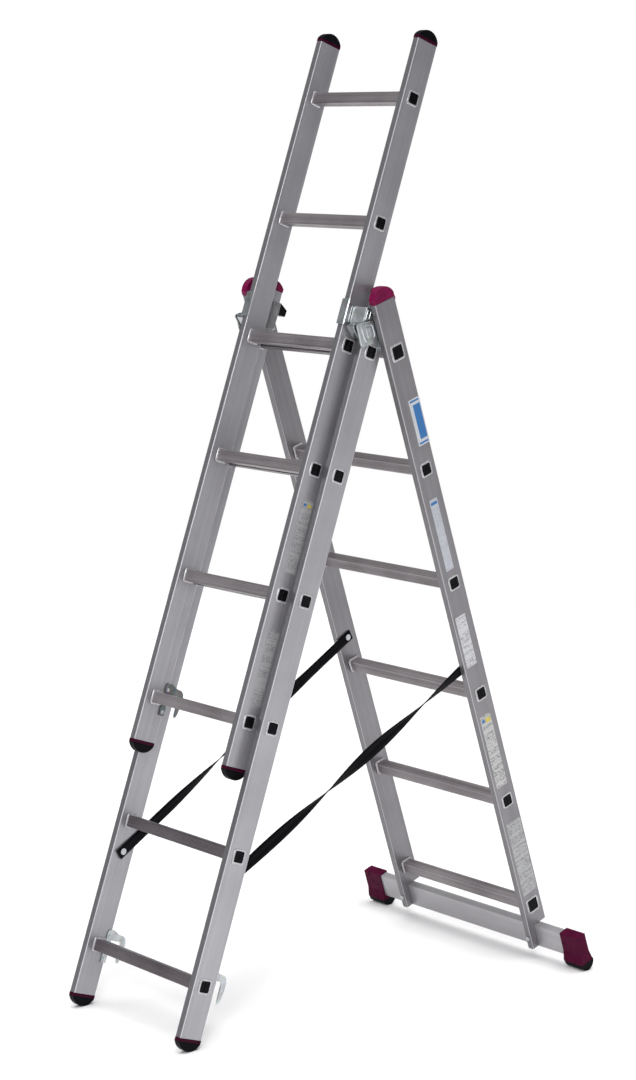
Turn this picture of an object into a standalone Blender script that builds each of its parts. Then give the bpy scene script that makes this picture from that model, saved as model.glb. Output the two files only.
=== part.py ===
"""Three-section combination ladder: an A-frame whose front section carries an extended upper section.

Metres, +Z up, +X along the rungs, the front sections towards -Y and the rear (base) section towards +Y.
The origin is on the floor at the middle of the overall box.

Each section is modelled in its own local frame: local x along the rungs, local y towards the back of
the ladder, local z up along the stiles, with the origin at the centre of the section's top rung.
"""
import bpy
import bmesh
from math import cos, pi, radians, sin
from mathutils import Matrix, Vector

# ---------------------------------------------------------------- driving dimensions
RUNG_PITCH = 0.280
RUNG_COUNT = 6
UPPER_RUNG_RISE = 0.0085      # the top rung sits this much above the even spacing
LEAN = radians(19.0)          # each side of the A-frame leans this far from the vertical

STILE_DEPTH = 0.061
STILE_WIDTH = 0.017
STILE_WALL = 0.0016
STILE_CORNER = 0.003
GAP = 0.0003                  # between two pieces that touch

UPPER_HALF_WIDTH = 0.1700     # to the stiles' outer faces
MIDDLE_HALF_WIDTH = 0.1975
BASE_HALF_WIDTH = 0.2250

UPPER_METAL = (-1.5000, 0.1400)    # stile ends along local z
MIDDLE_METAL = (-1.5120, 0.1250)
BASE_METAL = (-1.5060, 0.1190)

NEST = 0.0445                 # distance between the rung planes of two nested sections
UPPER_LIFT = 2 * RUNG_PITCH   # the upper section stands two rungs up the middle one
PIVOT_RISE = 0.0183           # hinge axis above the top rungs of middle and base

RUNG_HALF = 0.0130
RUNG_BORE_HALF = 0.0114
RUNG_CHAMFER = 0.0020
BEAD_HALF = 0.0163            # crimped collar on a stile's inner face
BEAD_LENGTH = 0.0022
BEAD_TAPER = 0.0030
RIM_HALF = 0.0158             # flared end on a stile's outer face
RIM_LENGTH = 0.0010

CAP_PROUD = 0.0005            # end caps stand this far outside the stile
CAP_TONGUE = 0.0220
CAP_COLLAR = 0.0067
TOP_CAP_COLLAR = 0.0120
MIDDLE_CAP_COLLAR = 0.0035
FACET = radians(19.0)         # one facet of a rounded sole, so that one facet lies flat on the floor

BAR_DEPTH = 0.0200
BAR_TOP = -1.4520             # along the base section's local z
BAR_BOTTOM = -1.5080
BAR_WALL = 0.0018
BAR_HALF_LENGTH = 0.3550
FOOT_INNER = 0.3095
FOOT_OUTER = 0.3665
FOOT_SOLE_RADIUS = 0.0205
FOOT_SOLE_OFFSET = 0.0020

PLATE = 0.0022                # pressed steel
BRACKET_FACE = 0.1990         # inner side of the guide bracket's outer plate
GUIDE_STRIP = 0.0030          # the guide moulding's thickness on the stile's inner face
HINGE_PLATE_FACE = 0.2040     # inner side of the base section's hinge plate
HINGE_PLATE = 0.0020
PIN_RADIUS = 0.0040
PIN_HOLE = PIN_RADIUS + GAP

HOOK_THICKNESS = 0.0030
RIVET_HEAD = 0.0052
RIVET_HEIGHT = 0.0016
STRAP_WIDTH = 0.0250
STRAP_THICKNESS = 0.0014
STRAP_OVERHANG = 0.0140
STRAP_FRONT = (0.1770, -1.1890, -0.0030)   # x, local z and local y on the middle section
STRAP_REAR = (0.2052, -0.7680, -0.0010)    # x, local z and local y on the base section

# ---------------------------------------------------------------- worked out from the above
CAP_HALF_DEPTH = STILE_DEPTH / 2 + CAP_PROUD
SOLE_RADIUS = CAP_HALF_DEPTH / sin(3.5 * FACET)
SOLE_HEIGHT = SOLE_RADIUS * (1 - cos(3.5 * FACET))
FRONT_SOLE_TOP = MIDDLE_METAL[0] - GAP - CAP_COLLAR
FRONT_SOLE_CENTRE = FRONT_SOLE_TOP - SOLE_HEIGHT + SOLE_RADIUS
TOP_RUNG_HEIGHT = SOLE_RADIUS * cos(FACET / 2) - FRONT_SOLE_CENTRE * cos(LEAN)
FOOT_SOLE_CENTRE = (FOOT_SOLE_RADIUS * cos(FACET / 2) - TOP_RUNG_HEIGHT - FOOT_SOLE_OFFSET * sin(LEAN)) / cos(LEAN)
BASE_SET_BACK = 2 * PIVOT_RISE * sin(LEAN) + NEST * cos(LEAN)
MIDDLE_Y = -0.02368           # puts the overall box's centre over the origin

SIDES = ((-1, "left"), (1, "right"))


# ---------------------------------------------------------------- scene and materials
def clear_scene():
    for obj in list(bpy.data.objects):
        bpy.data.objects.remove(obj, do_unlink=True)


def material(name, colour, roughness, metallic):
    mat = bpy.data.materials.new(name)
    mat.use_nodes = True
    shader = mat.node_tree.nodes["Principled BSDF"]
    shader.inputs["Base Color"].default_value = (*colour, 1.0)
    shader.inputs["Roughness"].default_value = roughness
    shader.inputs["Metallic"].default_value = metallic
    mat.diffuse_color = (*colour, 1.0)
    return mat


def empty(name, location, lean, parent=None):
    """An empty whose local z runs up a section's stiles."""
    obj = bpy.data.objects.new(name, None)
    obj.location = location
    obj.rotation_euler = (lean, 0, 0)
    obj.parent = parent
    bpy.context.collection.objects.link(obj)
    return obj


def add_object(name, mesh, mat=None, parent=None, location=(0, 0, 0)):
    obj = bpy.data.objects.new(name, mesh)
    bpy.context.collection.objects.link(obj)
    if mat is not None:
        obj.data.materials.append(mat)
    obj.parent = parent
    obj.location = location
    return obj


def finish_mesh(name, bm):
    bmesh.ops.recalc_face_normals(bm, faces=bm.faces)
    mesh = bpy.data.meshes.new(name)
    bm.to_mesh(mesh)
    bm.free()
    return mesh


# ---------------------------------------------------------------- shapes
def prism(bm, outline, low, high, axis):
    """A closed prism: outline is a list of 2D points, and axis the direction it is extruded along."""
    def place(point, along):
        u, v = point
        return {"x": (along, u, v), "y": (u, along, v), "z": (u, v, along)}[axis]

    first = [bm.verts.new(place(p, low)) for p in outline]
    last = [bm.verts.new(place(p, high)) for p in outline]
    bm.faces.new(first)
    bm.faces.new(list(reversed(last)))
    count = len(outline)
    for i in range(count):
        j = (i + 1) % count
        bm.faces.new((first[j], first[i], last[i], last[j]))


def box(bm, low, high):
    prism(bm, [(low[0], low[1]), (high[0], low[1]), (high[0], high[1]), (low[0], high[1])], low[2], high[2], "z")


def disc(bm, centre, radius, low, high, axis, sides=16):
    ring = [(centre[0] + radius * cos(2 * pi * i / sides), centre[1] + radius * sin(2 * pi * i / sides))
            for i in range(sides)]
    prism(bm, ring, low, high, axis)


def loft(bm, rings, closed_ends=True):
    """Joins rings of equal length into a skin, and closes the two ends where asked."""
    loops = [[bm.verts.new(p) for p in ring] for ring in rings]
    count = len(rings[0])
    for a, b in zip(loops, loops[1:]):
        for i in range(count):
            j = (i + 1) % count
            bm.faces.new((a[i], a[j], b[j], b[i]))
    if closed_ends:
        bm.faces.new(loops[0])
        bm.faces.new(list(reversed(loops[-1])))
    return loops


def rounded_rectangle(half_u, half_v, radius, steps):
    points = []
    for quarter, (su, sv) in enumerate(((1, 1), (-1, 1), (-1, -1), (1, -1))):
        for step in range(steps + 1):
            angle = (quarter + step / steps) * pi / 2
            points.append((su * (half_u - radius) + radius * cos(angle), sv * (half_v - radius) + radius * sin(angle)))
    return points


def ribbon(path, thickness):
    """The outline of a bent plate that follows a path of 2D points, with mitred bends."""
    def offset(side):
        out = []
        for i, point in enumerate(path):
            p = Vector(point)
            before = (p - Vector(path[i - 1])).normalized() if i else None
            after = (Vector(path[i + 1]) - p).normalized() if i + 1 < len(path) else None
            if before is None or after is None:
                along = after if before is None else before
                normal = Vector((-along.y, along.x))
                stretch = 1.0
            else:
                normal = (Vector((-before.y, before.x)) + Vector((-after.y, after.x))).normalized()
                stretch = 1.0 / normal.dot(Vector((-after.y, after.x)))
            out.append(tuple(p + normal * (side * thickness / 2 * stretch)))
        return out

    return offset(1) + list(reversed(offset(-1)))


def mirrored(bm):
    """The same shape for the other side of the ladder."""
    bmesh.ops.scale(bm, vec=(-1, 1, 1), verts=bm.verts)
    bmesh.ops.reverse_faces(bm, faces=bm.faces)


def boolean(mesh, cutter_bm, operation):
    """Cuts or joins a second shape, and returns the new mesh."""
    base = add_object("boolean_base", mesh)
    tool = add_object("boolean_tool", finish_mesh("boolean_tool", cutter_bm))
    modifier = base.modifiers.new("boolean", "BOOLEAN")
    modifier.operation = operation
    modifier.solver = "EXACT"
    modifier.object = tool
    evaluated = base.evaluated_get(bpy.context.evaluated_depsgraph_get())
    result = bpy.data.meshes.new_from_object(evaluated)
    bpy.data.objects.remove(base, do_unlink=True)
    bpy.data.objects.remove(tool, do_unlink=True)
    return result


# ---------------------------------------------------------------- sections
def rung_heights(rise=0.0):
    """Local heights of a section's rungs; rise lifts its first rung above the even spacing."""
    return [rise] + [-RUNG_PITCH * i for i in range(1, RUNG_COUNT)]


def stile_mesh(side, half_width, metal, rise, notch=False):
    """A hollow extruded stile with a square hole through both walls for each rung."""
    middle = side * (half_width - STILE_WIDTH / 2)
    outer = [(middle + u, v) for u, v in rounded_rectangle(STILE_WIDTH / 2, STILE_DEPTH / 2, STILE_CORNER, 2)]
    bm = bmesh.new()
    prism(bm, outer, metal[0], metal[1], "z")
    mesh = finish_mesh("stile", bm)

    bore = bmesh.new()
    bore_u = STILE_WIDTH / 2 - STILE_WALL
    bore_v = STILE_DEPTH / 2 - STILE_WALL
    bore_outline = [(middle + u, v) for u, v in rounded_rectangle(bore_u, bore_v, STILE_CORNER - STILE_WALL, 1)]
    prism(bore, bore_outline, metal[0] - 0.05, metal[1] + 0.05, "z")
    mesh = boolean(mesh, bore, "DIFFERENCE")

    cuts = bmesh.new()
    half = RUNG_HALF + GAP
    reach = STILE_WIDTH
    for z in rung_heights(rise):
        box(cuts, (middle - reach, -half, z - half), (middle + reach, half, z + half))
    if notch:
        box(cuts, (middle - reach, -BAR_DEPTH / 2 - GAP, metal[0] - 0.05), (middle + reach, 0.05, BAR_TOP + GAP))
        disc(cuts, (middle, BOLT_HEIGHT), BOLT_RADIUS + GAP, -0.05, -0.02, "y")
    return boolean(mesh, cuts, "DIFFERENCE")


BOLT_HEIGHT = (BAR_TOP + BAR_BOTTOM) / 2 + 0.002
BOLT_RADIUS = 0.0030


def rung_mesh(half_width):
    """A square tube through both stiles: a crimped collar inside each stile and a flared rim outside."""
    outer_face = half_width
    inner_face = half_width - STILE_WIDTH
    stations = [
        (outer_face + GAP + RIM_LENGTH, RIM_HALF),
        (outer_face + GAP, RIM_HALF),
        (outer_face + GAP, RUNG_HALF),
        (inner_face - GAP, RUNG_HALF),
        (inner_face - GAP, BEAD_HALF),
        (inner_face - GAP - BEAD_LENGTH, BEAD_HALF),
        (inner_face - GAP - BEAD_LENGTH - BEAD_TAPER, RUNG_HALF),
    ]
    full = [(-x, half) for x, half in stations] + [(x, half) for x, half in reversed(stations)]

    def ring(x, half, chamfer):
        flat = half - chamfer
        corners = [(flat, half), (-flat, half), (-half, flat), (-half, -flat),
                   (-flat, -half), (flat, -half), (half, -flat), (half, flat)]
        return [(x, u, v) for u, v in corners]

    bm = bmesh.new()
    skin = loft(bm, [ring(x, half, RUNG_CHAMFER) for x, half in full], closed_ends=False)
    end = full[-1][0]
    bore = loft(bm, [ring(x, RUNG_BORE_HALF, RUNG_CHAMFER / 2) for x in (-end, end)], closed_ends=False)
    for outer_loop, inner_loop in ((skin[0], bore[0]), (skin[-1], bore[-1])):
        for i in range(8):
            j = (i + 1) % 8
            bm.faces.new((outer_loop[i], outer_loop[j], inner_loop[j], inner_loop[i]))
    return finish_mesh("rung", bm)


def sole_outline(radius, half_facets, centre_y, centre_z, direction):
    """A faceted arc about its centre: one flat facet faces each multiple of FACET from straight down."""
    steps = range(-half_facets - 1, half_facets + 1)
    angles = [(step + 0.5) * FACET for step in steps]
    return [(centre_y + radius * sin(a), centre_z + direction * radius * cos(a)) for a in angles]


def cap_mesh(side, half_width, metal_end, direction, collar):
    """A moulded cap on the end of a stile: a tongue inside it, a collar and a rounded sole."""
    middle = side * (half_width - STILE_WIDTH / 2)
    half = STILE_WIDTH / 2 + CAP_PROUD
    start = metal_end + direction * GAP
    shoulder = start + direction * collar
    arc = sole_outline(SOLE_RADIUS, 3, 0.0, shoulder + direction * (SOLE_HEIGHT - SOLE_RADIUS), direction)
    bm = bmesh.new()
    outline = [(-CAP_HALF_DEPTH, start)] + arc + [(CAP_HALF_DEPTH, start)]
    prism(bm, outline, middle - half, middle + half, "x")
    mesh = finish_mesh("cap", bm)
    tongue = bmesh.new()
    tongue_u = STILE_WIDTH / 2 - STILE_WALL - GAP
    tongue_v = STILE_DEPTH / 2 - STILE_WALL - GAP
    low, high = sorted((metal_end - direction * CAP_TONGUE, start + direction * 0.002))
    prism(tongue, [(middle + u, v) for u, v in rounded_rectangle(tongue_u, tongue_v, 0.0014, 1)], low, high, "z")
    return boolean(mesh, tongue, "UNION")


def add_section(name, half_width, metal, mats, parent, rise=0.0, notch=False):
    """Stiles and rungs of one section."""
    for side, word in SIDES:
        add_object(f"{name}_stile_{word}", stile_mesh(side, half_width, metal, rise, notch), mats["stile"], parent)
    rung = rung_mesh(half_width)
    rung.materials.append(mats["rung"])
    for number, z in enumerate(rung_heights(rise), start=1):
        add_object(f"{name}_rung_{number}", rung, None, parent, (0, 0, z))


def add_caps(name, half_width, metal_end, direction, collar, mat, parent):
    for side, word in SIDES:
        add_object(f"{name}_{word}", cap_mesh(side, half_width, metal_end, direction, collar), mat, parent)


# ---------------------------------------------------------------- hooks
def hook_outline(rung_z):
    """Side view of a hook in local (y, z): a spine on the stile and a C that holds the next section's rung."""
    seat = rung_z + RUNG_HALF + GAP
    spine = (BEAD_HALF + 0.0007, STILE_DEPTH / 2 + 0.0007)
    low = rung_z - 0.037
    throat_back = NEST + RUNG_HALF + 0.0025
    return [
        (spine[0], low), (spine[0], rung_z + 0.032), (spine[0] + 0.005, rung_z + 0.0365),
        (0.034, rung_z + 0.0365), (0.050, rung_z + 0.0290), (0.064, rung_z + 0.0270),
        (0.0705, rung_z + 0.0215), (0.0735, rung_z + 0.0120), (0.0725, rung_z - 0.0050),
        (0.0690, rung_z - 0.0250), (0.0655, rung_z - 0.0340), (0.0625, rung_z - 0.0345),
        (throat_back + 0.0005, rung_z - 0.0300), (throat_back, rung_z + 0.0080),
        (throat_back - 0.0030, seat), (spine[1], seat), (spine[1], low),
    ]


def add_hooks(name, half_width, mats, parent):
    """A flat steel hook riveted to each stile's inner face at the bottom rung."""
    rung_z = rung_heights()[-1]
    face = half_width - STILE_WIDTH - GAP
    for side, word in SIDES:
        bm = bmesh.new()
        low, high = sorted((side * face, side * (face - HOOK_THICKNESS)))
        prism(bm, hook_outline(rung_z), low, high, "x")
        add_object(f"{name}_hook_{word}", finish_mesh("hook", bm), mats["zinc"], parent)


# ---------------------------------------------------------------- hinge and guide
BRACKET_MID = BRACKET_FACE + PLATE / 2
GUIDE_SIDE = 0.1736           # middle of the plate beside the upper stile
GUIDE_FRONT = -(NEST + STILE_DEPTH / 2 + 0.0021)   # middle of the lip over the upper stile's front
GUIDE_LIP_END = 0.1515
GUIDE_LEVELS = (0.039, 0.098)
BRACKET_TOP = 0.0900
BRACKET_STEP = 0.0500
STILE_BACK = STILE_DEPTH / 2 - 0.0005


def bracket_mesh(side):
    """A pressed guide bracket: a lip round the upper stile, a side plate, a joggle and a hinge ear."""
    bm = bmesh.new()
    wrap = [(GUIDE_LIP_END, GUIDE_FRONT), (GUIDE_SIDE, GUIDE_FRONT), (GUIDE_SIDE, -0.050)]
    prism(bm, ribbon(wrap, PLATE), GUIDE_LEVELS[0], GUIDE_LEVELS[1], "z")
    mesh = finish_mesh("bracket", bm)

    joggle = bmesh.new()
    path = [(GUIDE_SIDE, -0.056), (GUIDE_SIDE, -0.048), (BRACKET_MID, -0.040), (BRACKET_MID, STILE_BACK)]
    prism(joggle, ribbon(path, PLATE), BRACKET_STEP, BRACKET_TOP, "z")
    mesh = boolean(mesh, joggle, "UNION")

    ear = bmesh.new()
    pivot_y = NEST / 2
    lobe = [(STILE_BACK, BRACKET_STEP + 0.002), (-0.0395, BRACKET_STEP + 0.002), (-0.066, 0.046), (-0.0720, 0.0400),
            (-0.0720, 0.0360), (-0.0470, 0.0160), (-0.0340, 0.0030), (-0.0280, 0.0020), (-0.0190, 0.0180),
            (0.0100, 0.0185), (pivot_y - 0.0085, 0.0125), (pivot_y - 0.0040, 0.0096),
            (pivot_y + 0.0035, 0.0096), (STILE_BACK, 0.0135)]
    prism(ear, lobe, BRACKET_FACE, BRACKET_FACE + PLATE, "x")
    mesh = boolean(mesh, ear, "UNION")

    hole = bmesh.new()
    disc(hole, (pivot_y, PIVOT_RISE), PIN_HOLE, BRACKET_FACE - 0.01, BRACKET_FACE + 0.01, "x", 20)
    mesh = boolean(mesh, hole, "DIFFERENCE")
    return mesh if side > 0 else flipped(mesh)


def flipped(mesh):
    bm = bmesh.new()
    bm.from_mesh(mesh)
    mirrored(bm)
    return finish_mesh(mesh.name, bm)


def hinge_plate_mesh(side):
    """The base section's hinge plate: an ear on the pin, a wing in front of the stile, a pad against the stile."""
    pivot_y = -NEST / 2
    clear = BEAD_HALF + 0.0010
    outline = [(pivot_y - 0.0075, 0.0095), (-clear, 0.0095), (-clear, clear), (0.0220, clear), (0.0220, 0.0850),
               (0.0150, 0.0920), (-0.0220, 0.0920), (-0.0290, 0.0850), (-0.0700, 0.0925), (-0.0765, 0.0935),
               (-0.0790, 0.0910), (-0.0800, 0.0440), (-0.0770, 0.0395), (-0.0310, 0.0330), (-0.0300, 0.0120)]
    bm = bmesh.new()
    prism(bm, outline, HINGE_PLATE_FACE, HINGE_PLATE_FACE + HINGE_PLATE, "x")
    pad = bmesh.new()
    low_face = HINGE_PLATE_FACE + HINGE_PLATE / 2
    box(pad, (low_face, -0.0200, 0.0300), (BASE_HALF_WIDTH - STILE_WIDTH - GAP, 0.0140, 0.0840))
    mesh = boolean(finish_mesh("hinge_plate", bm), pad, "UNION")
    hole = bmesh.new()
    disc(hole, (pivot_y, PIVOT_RISE), PIN_HOLE, HINGE_PLATE_FACE - 0.01, HINGE_PLATE_FACE + 0.01, "x", 20)
    mesh = boolean(mesh, hole, "DIFFERENCE")
    return mesh if side > 0 else flipped(mesh)


def hinge_pin(bm, side):
    """A stepped pin: small head, shank through the bracket, spacer, shank through the plate, outer head."""
    ear_out = BRACKET_FACE + PLATE
    plate_out = HINGE_PLATE_FACE + HINGE_PLATE
    profile = [
        (BRACKET_FACE - 0.0013, 0.0052), (BRACKET_FACE - GAP, 0.0052), (BRACKET_FACE - GAP, PIN_RADIUS),
        (ear_out + GAP, PIN_RADIUS), (ear_out + GAP, 0.0068), (HINGE_PLATE_FACE - GAP, 0.0068),
        (HINGE_PLATE_FACE - GAP, PIN_RADIUS), (plate_out + GAP, PIN_RADIUS), (plate_out + GAP, 0.0066),
        (plate_out + 0.0015, 0.0066),
    ]
    sides = 20
    rings = []
    for x, radius in profile:
        rings.append([(side * x, NEST / 2 + radius * cos(2 * pi * i / sides),
                       PIVOT_RISE + radius * sin(2 * pi * i / sides)) for i in range(sides)])
    loft(bm, rings)


def add_hinge(mats, middle, base):
    for side, word in SIDES:
        add_object(f"guide_bracket_{word}", bracket_mesh(side), mats["zinc"], middle)
        add_object(f"base_hinge_plate_{word}", hinge_plate_mesh(side), mats["zinc"], base)
        pin = bmesh.new()
        hinge_pin(pin, side)
        add_object(f"hinge_pin_{word}", finish_mesh("hinge_pin", pin), mats["zinc"], middle)


def add_blocks(mats, middle):
    """Black moulded guides: a nose under each bracket's lip, a strip along the stile's inner face, a rear stop."""
    front = STILE_DEPTH / 2 + GAP
    inner = MIDDLE_HALF_WIDTH - STILE_WIDTH - GAP
    nose = [(-front, 0.0490), (-0.0600, 0.0480), (-0.0690, 0.0420), (-0.0690, 0.0370), (-0.0450, 0.0180),
            (-front, 0.0180)]
    strip = [(-0.0335, 0.0240), (0.0150, 0.0380), (0.0300, 0.0400), (0.0315, 0.0746), (0.0335, 0.0746),
             (0.0335, 0.1010), (0.0100, 0.1000), (-0.0100, 0.0600), (-0.0335, 0.0465)]
    stop = [(front, 0.1020), (0.0543, 0.0900), (0.0530, 0.0746), (front, 0.0740)]
    for side, word in SIDES:
        parts = []
        for outline, low, high in ((nose, inner - GUIDE_STRIP, MIDDLE_HALF_WIDTH), (strip, inner - GUIDE_STRIP, inner),
                                   (stop, inner - GUIDE_STRIP, MIDDLE_HALF_WIDTH)):
            bm = bmesh.new()
            prism(bm, outline, *sorted((side * low, side * high)), "x")
            parts.append(bm)
        mesh = finish_mesh("guide_block", parts[0])
        for bm in parts[1:]:
            mesh = boolean(mesh, bm, "UNION")
        add_object(f"guide_block_{word}", mesh, mats["black"], middle)


# ---------------------------------------------------------------- stabiliser
def add_stabiliser(mats, base):
    """The cross bar under the base section, its end feet, soles and bolts."""
    half = BAR_DEPTH / 2
    stile_middle = BASE_HALF_WIDTH - STILE_WIDTH / 2
    bm = bmesh.new()
    box(bm, (-BAR_HALF_LENGTH, -half, BAR_BOTTOM), (BAR_HALF_LENGTH, half, BAR_TOP))
    hollow = bmesh.new()
    inside = half - BAR_WALL
    box(hollow, (-0.5, -inside, BAR_BOTTOM + BAR_WALL), (0.5, inside, BAR_TOP - BAR_WALL))
    mesh = boolean(finish_mesh("bar", bm), hollow, "DIFFERENCE")
    holes = bmesh.new()
    for side, _ in SIDES:
        disc(holes, (side * stile_middle, BOLT_HEIGHT), BOLT_RADIUS + GAP, -half - 0.005, 0.0, "y", 16)
    add_object("stabiliser_bar", boolean(mesh, holes, "DIFFERENCE"), mats["bar"], base)

    front = STILE_DEPTH / 2 + GAP
    for side, word in SIDES:
        bolt = bmesh.new()
        centre = (side * stile_middle, BOLT_HEIGHT)
        head = [(BOLT_RADIUS, -0.0005), (BOLT_RADIUS, -front), (0.0058, -front), (0.0058, -front - 0.0022),
                (0.0030, -front - 0.0036)]
        loft(bolt, [[(centre[0] + r * cos(2 * pi * i / 16), y, centre[1] + r * sin(2 * pi * i / 16))
                     for i in range(16)] for r, y in head])
        add_object(f"stabiliser_bolt_{word}", finish_mesh("stabiliser_bolt", bolt), mats["zinc"], base)

        skirt = FOOT_SOLE_CENTRE + GAP
        outline = [(-0.0130, -1.4485), (0.0130, -1.4485), (0.0135, -1.4950), (0.0185, skirt + 0.004),
                   (0.0185, skirt), (-0.0185, skirt), (-0.0185, skirt + 0.004), (-0.0135, -1.4950)]
        shell = bmesh.new()
        low, high = sorted((side * FOOT_INNER, side * FOOT_OUTER))
        prism(shell, outline, low, high, "x")
        pocket = bmesh.new()
        low, high = sorted((side * (FOOT_INNER - 0.02), side * (BAR_HALF_LENGTH + GAP)))
        box(pocket, (low, -half - GAP, BAR_BOTTOM - GAP), (high, half + GAP, BAR_TOP + GAP))
        mesh = boolean(finish_mesh("foot", shell), pocket, "DIFFERENCE")
        add_object(f"stabiliser_foot_{word}", mesh, mats["magenta"], base)

        arc = sole_outline(FOOT_SOLE_RADIUS, 3, FOOT_SOLE_OFFSET, FOOT_SOLE_CENTRE, -1)
        edge = FOOT_SOLE_RADIUS
        outline = [(FOOT_SOLE_OFFSET - edge, FOOT_SOLE_CENTRE)] + arc + [(FOOT_SOLE_OFFSET + edge, FOOT_SOLE_CENTRE)]
        low, high = sorted((side * (FOOT_INNER + 0.0015), side * (FOOT_OUTER - 0.0015)))
        sole = bmesh.new()
        prism(sole, outline, low, high, "x")
        add_object(f"stabiliser_sole_{word}", finish_mesh("stabiliser_sole", sole), mats["black"], base)


# ---------------------------------------------------------------- spreader straps
def section_point(frame, x, y, z):
    return frame.matrix_world @ Vector((x, y, z))


def add_straps(mats, middle, base):
    """Webbing straps between the middle and base stiles, and the rivet heads at their ends."""
    for side, word in SIDES:
        start = section_point(middle, side * STRAP_FRONT[0], STRAP_FRONT[2], STRAP_FRONT[1])
        end = section_point(base, side * STRAP_REAR[0], STRAP_REAR[2], STRAP_REAR[1])
        along = (end - start).normalized()
        across = Vector((0, -along.z, along.y)).normalized() * (STRAP_WIDTH / 2)
        thick = Vector((STRAP_THICKNESS / 2, 0, 0))
        rings = []
        for centre in (start - along * STRAP_OVERHANG, end + along * STRAP_OVERHANG):
            rings.append([centre + across + thick, centre + across - thick,
                          centre - across - thick, centre - across + thick])
        bm = bmesh.new()
        loft(bm, rings)
        add_object(f"strap_{word}", finish_mesh("strap", bm), mats["webbing"])
        for name, parent, (x, z, y) in (("middle", middle, STRAP_FRONT), ("base", base, STRAP_REAR)):
            rivet = bmesh.new()
            top = x - STRAP_THICKNESS / 2 - 3 * GAP
            low, high = sorted((side * top, side * (top - RIVET_HEIGHT)))
            disc(rivet, (y, z), 0.0075, low, high, "x", 14)
            add_object(f"{name}_strap_rivet_{word}", finish_mesh("strap_rivet", rivet), mats["zinc"], parent)


# ---------------------------------------------------------------- the ladder
def build():
    clear_scene()
    aluminium = material("stile_aluminium", (0.56, 0.55, 0.57), 0.34, 1.0)
    mats = {
        "stile": aluminium,
        "rung": material("rung_aluminium", (0.47, 0.44, 0.44), 0.38, 1.0),
        "bar": material("bar_aluminium", (0.58, 0.57, 0.59), 0.36, 1.0),
        "zinc": material("zinc_plated_steel", (0.62, 0.64, 0.66), 0.30, 1.0),
        "black": material("black_plastic", (0.015, 0.015, 0.017), 0.45, 0.0),
        "magenta": material("magenta_plastic", (0.19, 0.008, 0.06), 0.32, 0.0),
        "webbing": material("black_webbing", (0.012, 0.012, 0.014), 0.80, 0.0),
    }

    middle = empty("middle_frame", (0, MIDDLE_Y, TOP_RUNG_HEIGHT), -LEAN)
    upper = empty("upper_frame", (0, -NEST, UPPER_LIFT), 0.0, middle)
    pivot_drop = Matrix.Rotation(-LEAN, 4, "X") @ Vector((0, NEST / 2, PIVOT_RISE))
    hinge = empty("fold_axis", Vector((0, MIDDLE_Y, TOP_RUNG_HEIGHT)) + pivot_drop, LEAN)
    base = empty("base_frame", (0, NEST / 2, -PIVOT_RISE), 0.0, hinge)
    bpy.context.view_layer.update()

    add_section("base", BASE_HALF_WIDTH, BASE_METAL, mats, base, notch=True)
    add_section("middle", MIDDLE_HALF_WIDTH, MIDDLE_METAL, mats, middle)
    add_section("upper", UPPER_HALF_WIDTH, UPPER_METAL, mats, upper, UPPER_RUNG_RISE)

    add_caps("base_top_cap", BASE_HALF_WIDTH, BASE_METAL[1], 1, TOP_CAP_COLLAR, mats["magenta"], base)
    add_caps("middle_top_cap", MIDDLE_HALF_WIDTH, MIDDLE_METAL[1], 1, MIDDLE_CAP_COLLAR, mats["magenta"], middle)
    add_caps("middle_foot_cap", MIDDLE_HALF_WIDTH, MIDDLE_METAL[0], -1, CAP_COLLAR, mats["black"], middle)
    add_caps("upper_foot_cap", UPPER_HALF_WIDTH, UPPER_METAL[0], -1, CAP_COLLAR, mats["black"], upper)
    add_caps("upper_top_cap", UPPER_HALF_WIDTH, UPPER_METAL[1], 1, CAP_COLLAR, mats["black"], upper)

    add_hooks("upper", UPPER_HALF_WIDTH, mats, upper)
    add_hooks("middle", MIDDLE_HALF_WIDTH, mats, middle)
    add_hinge(mats, middle, base)
    add_blocks(mats, middle)
    add_stabiliser(mats, base)
    add_straps(mats, middle, base)


build()
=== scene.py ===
"""Looks of the three-section combination ladder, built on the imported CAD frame."""

from math import asin, atan2, cos, pi, radians, sin

import bmesh
import bpy
from mathutils import Matrix, Vector


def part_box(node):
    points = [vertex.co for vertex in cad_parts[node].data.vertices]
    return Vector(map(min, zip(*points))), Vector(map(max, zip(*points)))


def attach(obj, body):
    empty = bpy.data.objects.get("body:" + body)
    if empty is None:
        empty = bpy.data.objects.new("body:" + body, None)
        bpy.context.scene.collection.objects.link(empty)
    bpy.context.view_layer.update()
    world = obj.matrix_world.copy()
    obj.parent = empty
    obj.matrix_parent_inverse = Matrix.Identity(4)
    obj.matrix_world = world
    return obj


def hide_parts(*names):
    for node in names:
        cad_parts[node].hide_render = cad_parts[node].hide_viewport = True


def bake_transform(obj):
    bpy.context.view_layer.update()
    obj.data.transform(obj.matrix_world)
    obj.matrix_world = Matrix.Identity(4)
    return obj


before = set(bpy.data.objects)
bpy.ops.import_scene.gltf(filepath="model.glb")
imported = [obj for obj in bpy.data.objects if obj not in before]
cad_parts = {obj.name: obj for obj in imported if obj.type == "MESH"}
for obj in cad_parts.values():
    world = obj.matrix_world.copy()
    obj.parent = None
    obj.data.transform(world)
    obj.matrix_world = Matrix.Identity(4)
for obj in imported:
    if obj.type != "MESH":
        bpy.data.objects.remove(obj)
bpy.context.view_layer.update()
scene = bpy.context.scene

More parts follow.
